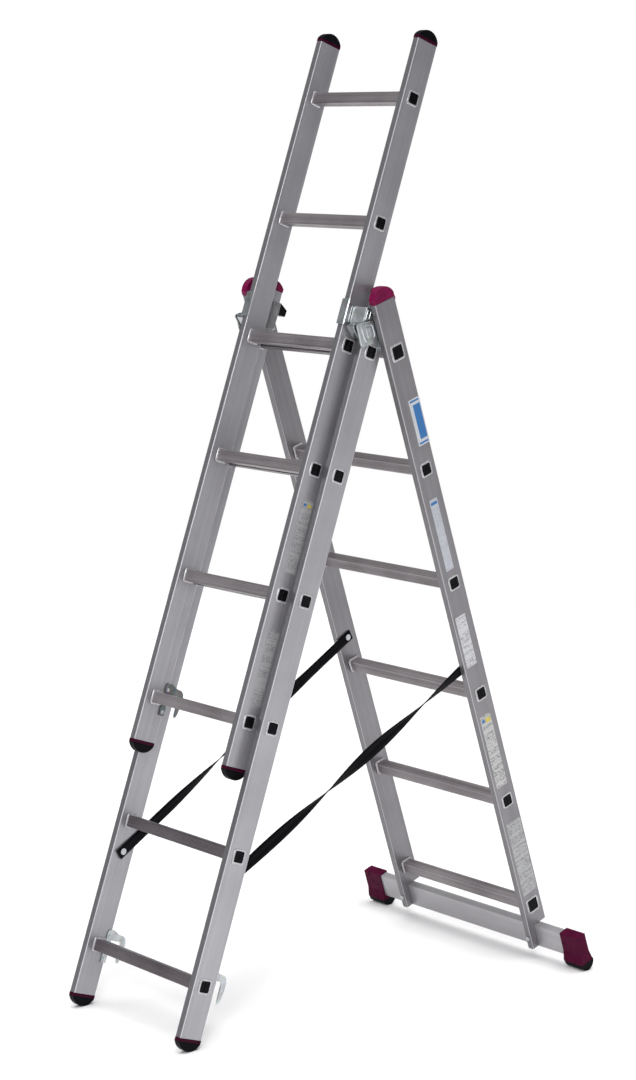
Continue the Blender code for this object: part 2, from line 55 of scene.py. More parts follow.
# ---------------------------------------------------------------- dimensions shared with the CAD
LEAN = radians(19.0)
PITCH = 0.280
STILE_W = 0.017
STILE_D = 0.061
WALL = 0.0016
GAP = 0.0003
RUNG_HALF = 0.0130
BORE_HALF = 0.0114
CAP_PROUD = 0.0005
CAP_HALF_D = STILE_D / 2 + CAP_PROUD
FACET = radians(19.0)
SOLE_R = CAP_HALF_D / sin(3.5 * FACET)
SOLE_H = SOLE_R * (1 - cos(3.5 * FACET))
SIDES = ((-1, "left"), (1, "right"))


def centre_of(node):
    low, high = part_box(node)
    return (low + high) / 2


def section(name, lean):
    """A section's own frame: local z runs up the stiles from the even place of its first rung."""
    second = Matrix.Translation(centre_of(f"{name}_rung_2"))
    return second @ Matrix.Rotation(lean, 4, "X") @ Matrix.Translation((0, 0, PITCH))


SECTIONS = {
    "upper": {"at": section("upper", -LEAN), "body": "upper_section", "half": 0.1700,
              "metal": (-1.5000, 0.1400), "rise": 0.0085},
    "middle": {"at": section("middle", -LEAN), "body": "middle_section", "half": 0.1975,
               "metal": (-1.5120, 0.1250), "rise": 0.0},
    "base": {"at": section("base", LEAN), "body": "base_section", "half": 0.2250,
             "metal": (-1.5060, 0.1190), "rise": 0.0},
}


def rung_level(key, number):
    return SECTIONS[key]["rise"] if number == 1 else -PITCH * (number - 1)


# ---------------------------------------------------------------- node materials
class Nodes:
    """A short way to write a node tree: each call adds one node and returns it."""

    def __init__(self, name, **values):
        self.mat = bpy.data.materials.new(name)
        self.mat.use_nodes = True
        self.tree = self.mat.node_tree
        self.shader = self.tree.nodes["Principled BSDF"]
        for key, value in values.items():
            self.shader.inputs[key.replace("_", " ")].default_value = value

    def add(self, kind, **inputs):
        node = self.tree.nodes.new(kind)
        for key, value in inputs.items():
            self.put(node.inputs[key.replace("_", " ")], value)
        return node

    def put(self, socket, value):
        if isinstance(value, bpy.types.NodeSocket):
            self.tree.links.new(value, socket)
        else:
            socket.default_value = value

    def coords(self, scale=(1, 1, 1), rotation=(0, 0, 0)):
        source = self.tree.nodes.new("ShaderNodeTexCoord")
        mapping = self.add("ShaderNodeMapping", Vector=source.outputs["Object"])
        mapping.inputs["Scale"].default_value = scale
        mapping.inputs["Rotation"].default_value = rotation
        return mapping.outputs["Vector"]

    def noise(self, vector, scale, detail=3.0, roughness=0.55):
        node = self.add("ShaderNodeTexNoise", Vector=vector, Scale=scale, Detail=detail, Roughness=roughness)
        return node.outputs["Fac"]

    def remap(self, value, low, high, to_low, to_high):
        node = self.tree.nodes.new("ShaderNodeMapRange")
        sockets = ("Value", "From Min", "From Max", "To Min", "To Max")
        for socket, v in zip(sockets, (value, low, high, to_low, to_high)):
            self.put(node.inputs[socket], v)
        return node.outputs["Result"]

    def ramp(self, value, stops):
        node = self.tree.nodes.new("ShaderNodeValToRGB")
        self.put(node.inputs["Fac"], value)
        elements = node.color_ramp.elements
        while len(elements) < len(stops):
            elements.new(0.5)
        for element, (place, colour) in zip(elements, stops):
            element.position = place
            element.color = (*colour, 1.0)
        return node.outputs["Color"]

    def math(self, operation, a, b=0.0, clamp=False):
        node = self.tree.nodes.new("ShaderNodeMath")
        node.operation = operation
        node.use_clamp = clamp
        self.put(node.inputs[0], a)
        self.put(node.inputs[1], b)
        return node.outputs["Value"]

    def mix(self, factor, a, b, blend="MIX"):
        node = self.tree.nodes.new("ShaderNodeMix")
        node.data_type = "RGBA"
        node.blend_type = blend
        self.put(node.inputs["Factor"], factor)
        colours = [s for s in node.inputs if s.type == "RGBA"]
        for socket, value in zip(colours, (a, b)):
            self.put(socket, value if isinstance(value, bpy.types.NodeSocket) else (*value, 1.0))
        return [s for s in node.outputs if s.type == "RGBA"][0]

    def bump(self, height, strength, distance):
        node = self.add("ShaderNodeBump", Height=height, Strength=strength, Distance=distance)
        self.put(self.shader.inputs["Normal"], node.outputs["Normal"])

    def colour(self, value):
        self.put(self.shader.inputs["Base Color"], value)

    def rough(self, value):
        self.put(self.shader.inputs["Roughness"], value)


NARROW_FACE = 0.0296  # distance of a stile's narrow faces from its middle plane, less their corner
# width of the painted highlight line along a stile's corners
PAINTED_HIGHLIGHT_WIDTH = 0.0013


def extruded_aluminium(name, dark, light, along, rough=(0.32, 0.46), metallic=0.65, painted_shade_faces=None):
    """Satin mill-finish extrusion: die lines along its length, soft clouding and fine handling marks.

    The last argument gives (distance from the middle, share of the tone) for the front and back faces, whose
    colour is cut to that share as painted shade. A painted highlight, a lighter line, runs along the corners
    beside them.
    """
    m = Nodes(name, Metallic=metallic)
    stretch = [90.0, 90.0, 90.0]
    stretch["xyz".index(along)] = 0.7
    lines = m.noise(m.coords(stretch), 1.0, 4.0, 0.6)
    fine_stretch = [700.0, 700.0, 700.0]
    fine_stretch["xyz".index(along)] = 4.0
    fine = m.noise(m.coords(fine_stretch), 1.0, 2.0, 0.5)
    cloud = m.noise(m.coords(), 7.0, 3.0, 0.5)
    marks = m.noise(m.coords(), 160.0, 5.0, 0.7)
    tone = m.math("ADD", m.math("MULTIPLY", lines, 0.55), m.math("MULTIPLY", cloud, 0.45))
    colour = m.ramp(tone, ((0.32, dark), (0.68, light)))
    colour = m.mix(m.remap(marks, 0.60, 0.72, 0.0, 0.16), colour, tuple(0.72 * c for c in dark))
    if painted_shade_faces:
        split = m.add("ShaderNodeSeparateXYZ", Vector=m.coords())
        out = m.math("ABSOLUTE", split.outputs["Y"])
        start, share = painted_shade_faces
        # painted highlight: a lighter line along the corners stands for their reflection; painted shade: the
        # front and back faces are darkened to the given share of the mean tone
        corner = tuple(1.7 * c for c in light)
        painted_face_shade = tuple(share * 0.5 * (a + b) for a, b in zip(dark, light))
        colour = m.mix(m.math("GREATER_THAN", out, start - PAINTED_HIGHLIGHT_WIDTH), colour, corner)
        colour = m.mix(m.math("GREATER_THAN", out, start), colour, painted_face_shade)
    m.colour(colour)
    m.rough(m.remap(m.math("ADD", lines, m.math("MULTIPLY", marks, 0.5)), 0.5, 1.0, *rough))
    m.bump(m.math("ADD", m.math("MULTIPLY", fine, 0.6), m.math("MULTIPLY", marks, 0.4)), 0.16, 0.0004)
    return m.mat


def zinc_steel(name, dark, light, rough=(0.24, 0.42)):
    """Bright zinc plating over pressed steel: soft spangle, slight bluish and yellowish patches."""
    m = Nodes(name, Metallic=0.95)
    spangle = m.add("ShaderNodeTexVoronoi", Vector=m.coords(), Scale=260.0).outputs["Color"]
    patch = m.noise(m.coords(), 45.0, 4.0, 0.6)
    marks = m.noise(m.coords(), 420.0, 4.0, 0.7)
    colour = m.ramp(patch, ((0.34, dark), (0.66, light)))
    m.colour(m.mix(0.07, colour, spangle))
    m.rough(m.remap(patch, 0.3, 0.7, *rough))
    m.bump(m.math("ADD", marks, m.math("MULTIPLY", patch, 0.8)), 0.20, 0.0005)
    return m.mat


def moulded_plastic(name, colour, rough, grain=900.0, depth=0.15, coat=0.0, shine=0.12, metallic=0.0):
    """Moulded plastic: fine grain, slight shade changes and rubbed patches."""
    m = Nodes(name, Metallic=metallic, Coat_Weight=coat, Coat_Roughness=0.18, Specular_IOR_Level=shine)
    soft = m.noise(m.coords(), 60.0, 3.0, 0.5)
    fine = m.noise(m.coords(), grain, 2.0, 0.5)
    dark = tuple(0.78 * c for c in colour)
    light = tuple(min(1.0, 1.25 * c + 0.001) for c in colour)
    m.colour(m.ramp(soft, ((0.3, dark), (0.7, light))))
    m.rough(m.remap(soft, 0.3, 0.7, rough - 0.06, rough + 0.08))
    m.bump(fine, depth, 0.0004)
    return m.mat


def webbing_material(name):
    """Woven polyester: ribs across the strap, a fine diagonal weave and fuzzy sheen. Local u, v in metres."""
    m = Nodes(name, Sheen_Weight=0.05, Sheen_Roughness=0.5, Specular_IOR_Level=0.04)
    uv = m.tree.nodes.new("ShaderNodeUVMap")
    uv.uv_map = "strip"
    mapping = m.add("ShaderNodeMapping", Vector=uv.outputs["UV"])
    ribs = m.add("ShaderNodeTexWave", Vector=mapping.outputs["Vector"], Scale=180.0, Distortion=0.6)
    ribs.bands_direction = "Y"
    warp = m.add("ShaderNodeTexWave", Vector=mapping.outputs["Vector"], Scale=140.0, Distortion=0.4)
    warp.bands_direction = "X"
    fibre = m.noise(m.coords(), 1500.0, 3.0, 0.6)
    weave = m.math("MULTIPLY", ribs.outputs["Fac"], warp.outputs["Fac"])
    m.colour(m.ramp(m.math("ADD", m.math("MULTIPLY", weave, 0.6), m.math("MULTIPLY", fibre, 0.4)),
                    ((0.2, (0.002, 0.002, 0.003)), (0.8, (0.010, 0.010, 0.011)))))
    m.rough(m.remap(fibre, 0.3, 0.7, 0.72, 0.92))
    m.bump(m.math("ADD", weave, m.math("MULTIPLY", fibre, 0.3)), 0.6, 0.0006)
    return m.mat


def label_material(name, paper, ink, marks=()):
    """A printed foil without lettering: fine grey specks of a given strength, and plain colour blocks.

    marks are (start along, end along, start across, end across, colour), each as a share of the label.
    """
    m = Nodes(name, Metallic=0.25, Specular_IOR_Level=0.3)
    uv = m.tree.nodes.new("ShaderNodeUVMap")
    uv.uv_map = "strip"
    split = m.tree.nodes.new("ShaderNodeSeparateXYZ")
    m.put(split.inputs["Vector"], uv.outputs["UV"])
    across, along = split.outputs["X"], split.outputs["Y"]
    specks = m.noise(m.coords((260.0, 260.0, 420.0)), 1.0, 2.0, 0.6)
    rows = m.noise(m.coords((8.0, 8.0, 150.0)), 1.0, 1.0, 0.4)
    fade = m.noise(m.coords(), 60.0, 3.0, 0.6)
    print_area = m.math("MULTIPLY", m.remap(specks, 0.48, 0.56, 0.0, ink),
                        m.remap(rows, 0.40, 0.50, 0.0, 1.0))
    colour = m.mix(print_area, paper, (0.08, 0.08, 0.085))
    colour = m.mix(m.remap(fade, 0.3, 0.7, 0.0, 0.25), colour, tuple(0.8 * c for c in paper))
    for start, end, left, right, block in marks:
        in_length = m.math("MULTIPLY", m.math("GREATER_THAN", along, start), m.math("LESS_THAN", along, end))
        in_width = m.math("MULTIPLY", m.math("GREATER_THAN", across, left), m.math("LESS_THAN", across, right))
        colour = m.mix(m.math("MULTIPLY", in_length, in_width), colour, block)
    m.colour(colour)
    m.rough(m.remap(fade, 0.3, 0.7, 0.34, 0.48))
    return m.mat


MATS = {
    # the three stile tones are one aluminium painted with light and shade: each section's tone, and the share
    # its front and back faces keep, stand for how light falls on it, and the base stiles are painted darkest
    "upper_stile": extruded_aluminium("upper_stile_alu", (0.30, 0.295, 0.315), (0.42, 0.412, 0.435), "z",
                                    painted_shade_faces=(NARROW_FACE, 0.62)),
    "middle_stile": extruded_aluminium("middle_stile_alu", (0.305, 0.301, 0.319), (0.415, 0.41, 0.432), "z",
                                    painted_shade_faces=(NARROW_FACE, 0.52)),
    "base_stile": extruded_aluminium("base_stile_alu", (0.195, 0.187, 0.199), (0.280, 0.271, 0.285), "z",
                                    painted_shade_faces=(NARROW_FACE, 0.80)),
    "rung": extruded_aluminium("rung_alu", (0.16, 0.142, 0.150), (0.36, 0.335, 0.345), "x", (0.28, 0.44)),
    # painted shade: the middle section's rungs take a darker copy of the rung aluminium
    "middle_rung": extruded_aluminium("middle_rung_painted_shade_alu", (0.085, 0.072, 0.082), (0.185, 0.165, 0.178), "x",
                                      (0.28, 0.44)),
    # painted highlight: a lighter copy of the rung aluminium for the bright beads and rims at the rungs' ends
    "flare": extruded_aluminium("rung_flare_painted_highlight_alu", (0.40, 0.394, 0.41), (0.54, 0.533, 0.55), "x",
                                (0.22, 0.34), 0.45),
    "grey": moulded_plastic("grey_moulding", (0.21, 0.205, 0.215), 0.40, shine=0.2),
    "plug": moulded_plastic("plug_moulding", (0.002, 0.002, 0.003), 0.26, 500.0, 0.3, shine=0.07),
    "bar": extruded_aluminium("bar_alu", (0.35, 0.342, 0.358), (0.46, 0.45, 0.468), "x"),
    "zinc": zinc_steel("zinc_steel", (0.36, 0.38, 0.39), (0.58, 0.61, 0.62)),
    "dark_zinc": zinc_steel("dark_zinc_steel", (0.075, 0.075, 0.080), (0.17, 0.17, 0.175)),
    "black": moulded_plastic("black_moulding", (0.003, 0.003, 0.004), 0.36, shine=0.08),
    "rubber": moulded_plastic("black_sole", (0.003, 0.003, 0.004), 0.45, 600.0, 0.3, shine=0.05),
    "collar": moulded_plastic("dark_magenta_moulding", (0.034, 0.001, 0.012), 0.35, shine=0.06),
    # painted light and shade: the caps' magenta is a little lighter for light from above, and the stabiliser
    # foot's is a darker copy of the same plastic for its shade
    "magenta": moulded_plastic("magenta_moulding", (0.150, 0.002, 0.045), 0.30, coat=0.04, shine=0.12),
    "foot": moulded_plastic("foot_magenta_painted_shade_moulding", (0.060, 0.001, 0.020), 0.32, shine=0.04),
    "webbing": webbing_material("webbing"),
}


# ---------------------------------------------------------------- mesh helpers
def rounded_rectangle(half_u, half_v, radius, steps):
    points = []
    for quarter, (su, sv) in enumerate(((1, 1), (-1, 1), (-1, -1), (1, -1))):
        for step in range(steps + 1):
            angle = (quarter + step / steps) * pi / 2
            points.append((su * (half_u - radius) + radius * cos(angle),
                           sv * (half_v - radius) + radius * sin(angle)))
    return points


def prism(bm, outline, low, high, axis):
    def place(point, along):
        u, v = point
        return {"x": (along, u, v), "y": (u, along, v), "z": (u, v, along)}[axis]

    loops = [[bm.verts.new(place(p, at)) for p in outline] for at in (low, high)]
    bm.faces.new(loops[0])
    bm.faces.new(list(reversed(loops[1])))
    count = len(outline)
    for i in range(count):
        j = (i + 1) % count
        bm.faces.new((loops[0][j], loops[0][i], loops[1][i], loops[1][j]))


def skin(bm, rings, close_rings=False):
    """Joins equal rings of points; close_rings joins the last ring to the first, as in a torus."""
    loops = [[bm.verts.new(p) for p in ring] for ring in rings]
    count = len(rings[0])
    pairs = list(zip(loops, loops[1:])) + ([(loops[-1], loops[0])] if close_rings else [])
    for a, b in pairs:
        for i in range(count):
            j = (i + 1) % count
            bm.faces.new((a[i], a[j], b[j], b[i]))
    if not close_rings:
        bm.faces.new(loops[0])
        bm.faces.new(list(reversed(loops[-1])))


def mesh_from(bm, name):
    bmesh.ops.recalc_face_normals(bm, faces=bm.faces)
    mesh = bpy.data.meshes.new(name)
    bm.to_mesh(mesh)
    bm.free()
    return mesh


def put(name, mesh, where, mat, replaces=(), bevel=0.0, segments=2, smooth=None):
    """Places a finished mesh in a section's frame and lets it ride on that section's body."""
    spot = SECTIONS[where]
    obj = bpy.data.objects.new(name, mesh)
    scene.collection.objects.link(obj)
    for one in (mat if isinstance(mat, (list, tuple)) else (mat,)):
        mesh.materials.append(MATS[one] if isinstance(one, str) else one)
    if smooth is not None:
        mesh.shade_smooth()
        mesh.set_sharp_from_angle(angle=radians(smooth))
    if bevel:
        add_bevel(obj, bevel, segments)
    obj.matrix_world = spot["at"]
    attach(obj, spot["body"])
    if replaces:
        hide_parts(*replaces)
    return obj


def add_bevel(obj, width, segments=2, angle=35.0):
    bevel = obj.modifiers.new("edge", "BEVEL")
    bevel.width = width
    bevel.segments = segments
    bevel.limit_method = "ANGLE"
    bevel.angle_limit = radians(angle)
    bevel.harden_normals = False
    weighted = obj.modifiers.new("normals", "WEIGHTED_NORMAL")
    weighted.keep_sharp = True


def cut(mesh, cutter, name):
    """The mesh with the cutter's shape taken out of it."""
    base = bpy.data.objects.new(name, mesh)
    tool = bpy.data.objects.new(name + "_tool", mesh_from(cutter, name + "_tool"))
    for obj in (base, tool):
        scene.collection.objects.link(obj)
    modifier = base.modifiers.new("cut", "BOOLEAN")
    modifier.operation = "DIFFERENCE"
    modifier.solver = "EXACT"
    modifier.object = tool
    result = bpy.data.meshes.new_from_object(base.evaluated_get(bpy.context.evaluated_depsgraph_get()))
    for obj in (base, tool):
        bpy.data.objects.remove(obj, do_unlink=True)
    return result


def mirrored_copy(mesh):
    bm = bmesh.new()
    bm.from_mesh(mesh)
    bmesh.ops.scale(bm, vec=(-1, 1, 1), verts=bm.verts)
    bmesh.ops.reverse_faces(bm, faces=bm.faces)
    return mesh_from(bm, mesh.name)


# ---------------------------------------------------------------- stiles
def stile_mesh(key):
    half, metal = SECTIONS[key]["half"], SECTIONS[key]["metal"]
    middle = half - STILE_W / 2
    outline = rounded_rectangle(STILE_W / 2, STILE_D / 2, 0.0030, 6)
    bore = rounded_rectangle(STILE_W / 2 - WALL, STILE_D / 2 - WALL, 0.0014, 2)
    bm = bmesh.new()
    prism(bm, [(middle + u, v) for u, v in outline], metal[0], metal[1], "z")
    hollow = bmesh.new()
    prism(hollow, [(middle + u, v) for u, v in bore], metal[0] - 0.05, metal[1] + 0.05, "z")
    mesh = cut(mesh_from(bm, "stile"), hollow, "stile")
    holes = bmesh.new()
    hole = RUNG_HALF + GAP
    for number in range(1, 7):
        square = [(u, v + rung_level(key, number)) for u, v in rounded_rectangle(hole, hole, 0.0012, 1)]
        prism(holes, square, middle - 0.02, middle + 0.02, "x")
    if key == "base":
        step = [(-0.0103, metal[0] - 0.05), (0.05, metal[0] - 0.05), (0.05, -1.4517), (-0.0073, -1.4517),
                (-0.0094, -1.4526), (-0.0103, -1.4547)]
        prism(holes, step, middle - 0.02, middle + 0.02, "x")
    return cut(mesh, holes, "stile_cut")


for key in SECTIONS:
    right = stile_mesh(key)
    left = mirrored_copy(right)
    for word, mesh in (("left", left), ("right", right)):
        put(f"{key}_stile_{word}_profile", mesh, key, f"{key}_stile",
            (f"{key}_stile_{word}",))


# ---------------------------------------------------------------- rungs
def ribbed_square(half):
    """The rung's outline: rounded corners, five fine grooves in the front and back faces, two in the others."""
    corner, depth, width = 0.0022, 0.0006, 0.0013
    points = []
    for quarter in range(4):
        angle0 = quarter * pi / 2
        grooves = 5 if quarter % 2 == 0 else 2
        axis_u = (cos(angle0), sin(angle0))
        axis_v = (-sin(angle0), cos(angle0))
        flat = half - corner

        def at(out, along):
            return (out * axis_u[0] + along * axis_v[0], out * axis_u[1] + along * axis_v[1])

        for k in range(grooves):
            centre = -flat + 2 * flat * (k + 1) / (grooves + 1)
            points += [at(half, centre - width), at(half - depth, centre - width / 3),
                       at(half - depth, centre + width / 3), at(half, centre + width)]
        for step in range(5):
            a = angle0 + step / 4 * pi / 2
            points.append((flat * (axis_u[0] + axis_v[0]) + corner * cos(a),
                           flat * (axis_u[1] + axis_v[1]) + corner * sin(a)))
    return points


def square_torus(bm, section_points, corner, steps=3):
    """A ring round the rung with the lighter second material, a painted highlight: section_points are (x, half
    size) round the ring's own section.
    """
    before = set(bm.faces)
    rings = []
    for x, half in section_points:
        rings.append([(x, u, v) for u, v in rounded_rectangle(half, half, corner, steps)])
    skin(bm, rings, close_rings=True)
    for face in set(bm.faces) - before:
        face.material_index = 1


def rung_mesh(half_width, big):
    bm = bmesh.new()
    outline = ribbed_square(RUNG_HALF)
    ratio = BORE_HALF / RUNG_HALF
    end = half_width + 0.0012
    skin(bm, [
        [(x, k * u, k * v) for u, v in outline]
        for x, k in ((-end, 1), (end, 1), (end, ratio), (-end, ratio))
    ], close_rings=True)
    inner = half_width - STILE_W - GAP
    for side in (-1, 1):
        bead = []
        for step in range(9):
            a = pi * step / 8
            bead.append((side * (inner - 0.0026 + 0.0026 * cos(a)),
                         RUNG_HALF - 0.0004 + 0.0037 * sin(a) ** 0.8))
        square_torus(bm, bead, 0.0045)
        outer = half_width + GAP
        rim = [(side * (outer + dx), h) for dx, h in (
            (0.0, 0.0118 * big), (0.0, 0.0166 * big), (0.0006, 0.0166 * big), (0.0014, 0.0158 * big),
            (0.0018, 0.0144 * big), (0.0016, 0.0126 * big), (0.0010, 0.0117 * big))]
        square_torus(bm, rim, 0.0055)
    return mesh_from(bm, "rung_profile")


def plug_mesh(half_width, big, plain):
    """Moulded plugs for both ends of a rung: a head inside the flared rim, with a raised frame.

    The frame holds two crossing ribs, or one square pad on a plain plug.
    """
    bm = bmesh.new()
    half = 0.0124 * big
    for side in (-1, 1):
        back, seat = half_width - 0.008, half_width + 0.0016
        face, top = half_width + 0.0024, half_width + 0.0034
        prism(bm, rounded_rectangle(0.0110, 0.0110, 0.0020, 3),
              *sorted((side * back, side * (seat + 0.0002))), "x")
        prism(bm, rounded_rectangle(half, half, 0.0030, 3), *sorted((side * seat, side * face)), "x")
        ring = [(side * x, h) for x, h in ((face - 0.0001, half - 0.0004), (top, half - 0.0010),
                                           (top, half - 0.0030), (face - 0.0001, half - 0.0038))]
        skin(bm, [[(x, u, v) for u, v in rounded_rectangle(h, h, 0.0022, 3)] for x, h in ring],
             close_rings=True)
        reach = half - 0.0015
        if not plain:
            long, short = (-reach, reach), (-0.0012, 0.0012)
            for (u0, u1), (v0, v1) in ((long, short), (short, long)):
                prism(bm, [(u0, v0), (u1, v0), (u1, v1), (u0, v1)],
                      *sorted((side * (face - 0.0001), side * (top - 0.0003))), "x")
        else:
            prism(bm, rounded_rectangle(half * 0.5, half * 0.5, 0.0015, 2),
                  *sorted((side * (face - 0.0001), side * (top - 0.0005))), "x")
    return mesh_from(bm, "rung_plugs")


for key, spot in SECTIONS.items():
    for number in range(1, 7):
        large = key == "base" and number in (1, 6)
        big = 1.16 if large else 1.0
        rung = rung_mesh(spot["half"], big)
        plugs = plug_mesh(spot["half"], big, large)
        shift = Matrix.Translation((0, 0, rung_level(key, number)))
        rung.transform(shift)
        plugs.transform(shift)
        # the middle rungs' darker tone is painted shade; the beads and rims take the lighter flare aluminium as
        # a painted highlight
        tone = "middle_rung" if key == "middle" else "rung"
        put(f"{key}_rung_{number}_profile", rung, key, (tone, "flare"),
            (f"{key}_rung_{number}",), smooth=25)
        put(f"{key}_rung_{number}_plugs", plugs, key, "plug", bevel=0.0003, segments=1)


# ---------------------------------------------------------------- stile end caps
def arc_points(radius, centre_z, direction, half_angle, count):
    return [(radius * sin(a), centre_z + direction * radius * cos(a))
            for a in (half_angle * (2 * i / count - 1) for i in range(count + 1))]


def dome(side, half_width, flat, direction, radius, centre_z):
    """A sole whose rounded profile faces down (or up) and whose sides are slightly softened by a bevel."""
    middle = side * (half_width - STILE_W / 2)
    half = STILE_W / 2 + CAP_PROUD
    half_angle = atan2(CAP_HALF_D, direction * (flat - centre_z))
    bm = bmesh.new()
    prism(bm, arc_points(radius, centre_z, direction, half_angle, 28), middle - half, middle + half, "x")
    return mesh_from(bm, "dome")


def collar(side, half_width, metal_end, direction, height):
    middle = side * (half_width - STILE_W / 2)
    bm = bmesh.new()
    start = metal_end + direction * GAP
    outline = [(middle + u, v) for u, v in rounded_rectangle(STILE_W / 2 + CAP_PROUD, CAP_HALF_D, 0.0032, 5)]
    prism(bm, outline, *sorted((start, start + direction * height)), "z")
    inside = rounded_rectangle(STILE_W / 2 - WALL - GAP, STILE_D / 2 - WALL - GAP, 0.0014, 2)
    tongue = [(middle + u, v) for u, v in inside]
    prism(bm, tongue, *sorted((metal_end - direction * 0.02, start + direction * 0.001)), "z")
    return mesh_from(bm, "collar")


SOLE_SMOOTH_R = SOLE_R * cos(FACET / 2)
COLLAR_HEIGHT = 0.0067


def two_part_caps(key, node, metal_end, direction):
    half = SECTIONS[key]["half"]
    shoulder = metal_end + direction * (GAP + COLLAR_HEIGHT)
    centre = shoulder + direction * (SOLE_H - SOLE_R)
    for side, word in SIDES:
        ring = collar(side, half, metal_end, direction, COLLAR_HEIGHT)
        put(f"{node}_{word}_collar", ring, key, "collar", (f"{node}_{word}",), bevel=0.0006)
        sole = dome(side, half, shoulder + direction * 0.0002, direction, SOLE_SMOOTH_R, centre)
        put(f"{node}_{word}_sole", sole, key, "rubber", bevel=0.0014, segments=3)


two_part_caps("upper", "upper_top_cap", SECTIONS["upper"]["metal"][1], 1)
two_part_caps("upper", "upper_foot_cap", SECTIONS["upper"]["metal"][0], -1)
two_part_caps("middle", "middle_foot_cap", SECTIONS["middle"]["metal"][0], -1)

CAP_DOMES = {"middle": (0.0085, 0.0400), "base": (0.0110, 0.0333)}  # side height below the dome, dome radius
for key in CAP_DOMES:
    for side, word in SIDES:
        low = SECTIONS[key]["metal"][1] + GAP
        middle_x = side * (SECTIONS[key]["half"] - STILE_W / 2)
        bm = bmesh.new()
        rise, radius = CAP_DOMES[key]
        spread = asin(CAP_HALF_D / radius)
        arc = arc_points(radius, low + rise - radius * cos(spread), 1, spread, 28)
        body_half = STILE_W / 2 + CAP_PROUD
        prism(bm, [(-CAP_HALF_D, low)] + arc + [(CAP_HALF_D, low)],
              middle_x - body_half, middle_x + body_half, "x")
        put(f"{key}_top_cap_{word}_moulding", mesh_from(bm, "top_cap"), key, "magenta",
            (f"{key}_top_cap_{word}",), bevel=0.0022, segments=4)


# ---------------------------------------------------------------- pressed hinge plates
PLATE = 0.0022
# x, y and the two z levels of the guide bracket's middle surface, from its lip to its rear end
BRACKET_PATH = (
    (0.1515, -0.0771, 0.0405, 0.0975), (0.1722, -0.0771, 0.0405, 0.0975), (0.1736, -0.0757, 0.0410, 0.0970),
    (0.1736, -0.0735, 0.0450, 0.0870), (0.1736, -0.0580, 0.0475, 0.0860), (0.1748, -0.0565, 0.0480, 0.0860),
    (0.1988, -0.0457, 0.0560, 0.0880), (0.2001, -0.0440, 0.0565, 0.0885), (0.2001, -0.0180, 0.0520, 0.0895),
    (0.2001, 0.0300, 0.0500, 0.0895))
HINGE_FACE = 0.2060


def band(bm, path, thickness, along="z"):
    """A bent sheet-metal strip along points on its middle surface.

    The points are (x, y, low z, high z), or (y, z, low x, high x) where along is x.
    """
    rings = []
    for i, (x, y, low, high) in enumerate(path):
        ahead, behind = path[min(i + 1, len(path) - 1)], path[max(i - 1, 0)]
        before = Vector((x - behind[0], y - behind[1])).normalized() if i else None
        after = Vector((ahead[0] - x, ahead[1] - y)).normalized() if i < len(path) - 1 else before
        before = before or after
        mean = (before + after).normalized()
        across = Vector((-mean.y, mean.x)) * (thickness / 2 / max(0.5, mean.dot(after)))
        ring = [(x + across.x, y + across.y, low), (x + across.x, y + across.y, high),
                (x - across.x, y - across.y, high), (x - across.x, y - across.y, low)]
        rings.append([(c, a, b) if along == "x" else (a, b, c) for a, b, c in ring])
    skin(bm, rings)


def cut_corners(corners, share=0.12):
    """The polygon with each corner replaced by two points."""
    out = []
    count = len(corners)
    for i, corner in enumerate(corners):
        here = Vector(corner)
        for other in (corners[i - 1], corners[(i + 1) % count]):
            out.append(tuple(here.lerp(Vector(other), share)))
    return out


def scaled(corners, margin):
    """The polygon moved inwards by a margin, measured along each axis from its middle."""
    mid = [sum(c[k] for c in corners) / len(corners) for k in (0, 1)]
    size = [max(c[k] for c in corners) - min(c[k] for c in corners) for k in (0, 1)]
    return [tuple(mid[k] + (c[k] - mid[k]) * (1 - 2 * margin / size[k]) for k in (0, 1)) for c in corners]


def embossed_ring(bm, corners, x, height, width, slope=0.0012):
    """A raised border pressed into a plate whose face is at x."""
    outline = cut_corners(corners)
    steps = ((-0.0003, 0.0), (height, slope), (height, slope + width), (-0.0003, 2 * slope + width))
    skin(bm, [[(x + h, u, v) for u, v in scaled(outline, margin)] for h, margin in steps], close_rings=True)


def embossed_pad(bm, corners, x, height, slope=0.0012):
    outline = cut_corners(corners)
    steps = ((-0.0003, 0.0), (height, slope))
    skin(bm, [[(x + h, u, v) for u, v in scaled(outline, margin)] for h, margin in steps])


def bracket_pressing():
    bm = bmesh.new()
    band(bm, BRACKET_PATH, PLATE)
    ear = [(0.0300, 0.0520), (-0.0395, 0.0570), (-0.0600, 0.0500), (-0.0660, 0.0460), (-0.0720, 0.0400),
           (-0.0720, 0.0360), (-0.0470, 0.0160), (-0.0340, 0.0030), (-0.0280, 0.0020), (-0.0190, 0.0180),
           (0.0100, 0.0185), (0.0140, 0.0125), (0.0182, 0.0096), (0.0258, 0.0096), (0.0300, 0.0135)]
    prism(bm, ear, 0.1992, 0.2010, "x")
    side_face = 0.1736 + PLATE / 2
    front = [(-0.0675, 0.0478), (-0.0575, 0.0490), (-0.0575, 0.0850), (-0.0675, 0.0840)]
    embossed_ring(bm, front, side_face, 0.0014, 0.0010)
    outer_face = 0.2001 + PLATE / 2
    rear = [(-0.0435, 0.0600), (-0.0300, 0.0640), (-0.0300, 0.0860), (-0.0435, 0.0850)]
    embossed_ring(bm, rear, outer_face, 0.0012, 0.0014)
    return mesh_from(bm, "bracket_pressing")


